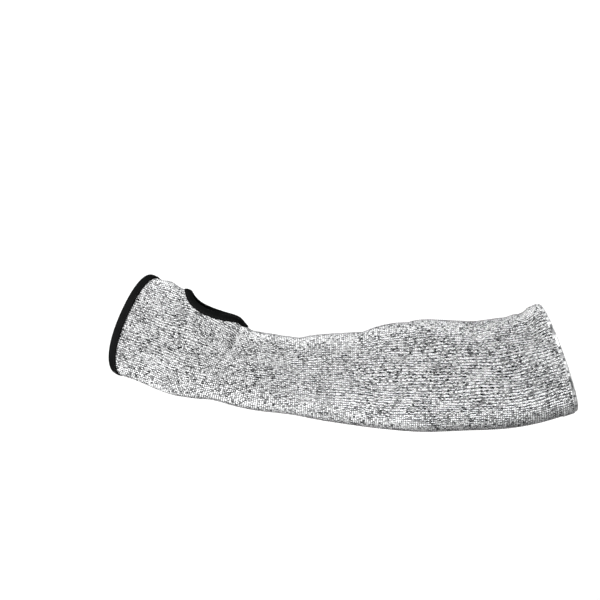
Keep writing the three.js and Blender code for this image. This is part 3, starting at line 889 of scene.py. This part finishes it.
def threads(name, edge, material):
    # one row of stitches on each side: short tubes that rise out of the tape and dip back into it by
    # half a sine
    place, away, length = edge
    count = int(round(length / tape["stitchPitch"]))
    rings = len(place[0])
    ringAlong, ringAngle = slide(place[0], place[1], away, np.full(rings, tape["stitchInto"]))
    base, normal = surfaceAt(ringAlong, ringAngle), frameAt(ringAlong, ringAngle)[2]
    sections, spokes, bare = len(thread["taper"]), thread["spokes"], thread["bare"]
    step = np.linspace(0, 1, sections)
    at = (np.arange(count)[:, None] + bare + (1 - 2 * bare) * step[None]) / count * rings
    low = at.astype(int) % rings
    mix = (at - np.floor(at))[..., None]
    middle = base[low] * (1 - mix) + base[(low + 1) % rings] * mix
    outward = normal[low]
    tangent = np.gradient(middle, axis=1)
    tangent = tangent / np.linalg.norm(tangent, axis=-1, keepdims=True)
    sideways = np.cross(outward, tangent)
    arch = thread["rise"] * np.sin(step * np.pi)[None, :, None]
    radius = thread["thickness"] * np.array(thread["taper"])[None, :, None, None]
    spin = (np.arange(spokes) / spokes * fullTurn)[None, None, :, None]
    spoke = radius * (sideways[:, :, None] * np.cos(spin) + outward[:, :, None] * np.sin(spin))
    top = sleeve["tapeGap"] + sleeve["tapeThickness"] - thread["sunk"]
    sides = [(top, 1), (-sleeve["knitWall"] - top, -1)]
    ring = [(middle + outward * (lift + sign * arch))[:, :, None] + spoke for lift, sign in sides]
    total = 2 * count
    points = np.concatenate(ring).reshape(-1, 3)
    k, s, p = np.meshgrid(np.arange(total), np.arange(sections - 1), np.arange(spokes), indexing="ij")
    k, s, p = k.ravel(), s.ravel(), p.ravel()
    here, there = (k * sections + s) * spokes, (k * sections + s + 1) * spokes
    after = (p + 1) % spokes
    quads = np.stack([here + p, here + after, there + after, there + p], -1)
    capOrder = np.arange(spokes)
    first = (np.arange(total) * sections * spokes)[:, None]
    starts, ends = first + capOrder[::-1], first + (sections - 1) * spokes + capOrder
    u = np.stack([s, s, s + 1, s + 1], -1) / (sections - 1)
    v = np.stack([p, p + 1, p + 1, p], -1) / spokes
    uvs = np.concatenate([np.stack([u, v], -1).reshape(-1, 2), np.zeros((total * spokes * 2, 2))])
    # the first stitch shows whether the faces point out
    sample = points[: sections * spokes]
    if signedVolume(sample - sample.mean(0), quads[: (sections - 1) * spokes]) < 0:
        quads, starts, ends = quads[:, ::-1], starts[:, ::-1], ends[:, ::-1]
    print(f"{name}: {total} stitches")
    return addPiece(name, points, [quads, starts, ends], uvs, [material])


print("materials")
loopYarn = outsideMaterial("knitYarn", legs=True)
# painted shade: the ground between the legs is the yarn darkened, for the shadow in the gaps
shadedGroundYarn = outsideMaterial("knitGround", yarn["groundPaintedShade"])
insideYarn = insideMaterial()
blackTape = tapeMaterial()
blackThread = threadMaterial()

print("knit")
ground = knitGround(shadedGroundYarn, insideYarn)
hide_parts("sleeve_body")
loops = knitLoops(loopYarn)

print("tapes")
handPlace, handAway, handLength = evenPlaces(handEdge, tape["rings"]["hand"])
thumbPlace, thumbAway, thumbLength = evenPlaces(holeEdge, tape["rings"]["thumb"])
if (handAway * frameAt(*handPlace)[0]).sum() < 0:
    handAway = -handAway
holeOut = surfaceAt(*thumbPlace) - surfaceAt(*thumbPlace).mean(0)
if (thumbAway * holeOut).sum() < 0:
    thumbAway = -thumbAway
handRim = (handPlace, handAway, handLength)
thumbRim = (thumbPlace, thumbAway, thumbLength)
handTape = ringOfTape("handBinding", handRim, tape["rings"]["hand"], blackTape)
thumbTape = ringOfTape("thumbBinding", thumbRim, tape["rings"]["thumb"], blackTape)
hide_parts("hand_binding")
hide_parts("thumb_binding")
handThread = threads("handStitching", handRim, blackThread)
thumbThread = threads("thumbStitching", thumbRim, blackThread)

# Studio

studio = {
    "floor": -0.85, "back": 1.6, "half": 4.0, "rise": 1.55, "bend": 0.6, "bendSteps": 17,
    "white": 0.93, "roughness": 0.9, "specular": 0.1, "world": 0.14,
    "camera": (0.0405, -1.5, 0.06435), "lens": 100,
    "lights": [  # name, place, aim, size, watts
        ("key", (-0.85, -1.25, 0.52), (0.02, 0, 0), 0.7, 75),
        ("fill", (1.3, -1.5, 0.5), (0.1, 0, 0), 1.4, 5),
        ("backdrop", (0.6, 0.75, 1.1), (0.35, 1.6, -0.1), 1.2, 7.0),
    ],
}


def studioSweep():
    # pale floor that curves up into the backdrop: a straight, a quarter circle and a straight
    half, back, bend, low = studio["half"], studio["back"], studio["bend"], studio["floor"]
    turn = np.linspace(0, np.pi / 2, studio["bendSteps"])
    y = np.concatenate([[-half], back - bend + np.sin(turn) * bend, [back]])
    z = np.concatenate([[low], low + bend - np.cos(turn) * bend, [low + studio["rise"]]])
    count = len(y)
    points = np.concatenate([np.stack([np.full(count, x), y, z], -1) for x in (-half, half)])
    order = np.arange(count - 1)
    quads = np.stack([order, order + count, order + count + 1, order + 1], -1)
    mesh = bpy.data.meshes.new("studioSweep")
    mesh.from_pydata(points.tolist(), [], quads.tolist())
    mesh.polygons.foreach_set("use_smooth", np.ones(len(quads), bool))
    sweep = bpy.data.objects.new("studioSweep", mesh)
    bpy.context.collection.objects.link(sweep)
    material, _nodes, _links, shader = newMaterial("studioWhite")
    shader.inputs["Base Color"].default_value = (studio["white"], studio["white"], studio["white"], 1)
    shader.inputs["Roughness"].default_value = studio["roughness"]
    shader.inputs["Specular IOR Level"].default_value = studio["specular"]
    mesh.materials.append(material)


def aimAt(thing, target):
    # turns an object so that its -Z looks at a point
    direction = np.array(target) - np.array(thing.location)
    thing.rotation_mode = "QUATERNION"
    thing.rotation_quaternion = Vector(direction).to_track_quat("-Z", "Y")


def studioLights():
    # three round soft lamps and an even white world
    for name, place, aim, size, watts in studio["lights"]:
        light = bpy.data.lights.new(name, "AREA")
        light.shape = "DISK"
        light.size = size
        light.energy = watts
        holder = bpy.data.objects.new(name, light)
        holder.location = place
        bpy.context.collection.objects.link(holder)
        aimAt(holder, aim)
    world = bpy.data.worlds.new("studio")
    world.use_nodes = True
    background = world.node_tree.nodes["Background"]
    background.inputs["Color"].default_value = (1, 1, 1, 1)
    background.inputs["Strength"].default_value = studio["world"]
    bpy.context.scene.world = world


print("studio")
studioSweep()
studioLights()
camera = bpy.data.objects.new("camera", bpy.data.cameras.new("camera"))
camera.location = studio["camera"]
camera.data.lens = studio["lens"]
aimAt(camera, (studio["camera"][0], 0, studio["camera"][2]))
bpy.context.collection.objects.link(camera)
bpy.context.scene.camera = camera
bpy.context.scene.view_settings.view_transform = "Standard"
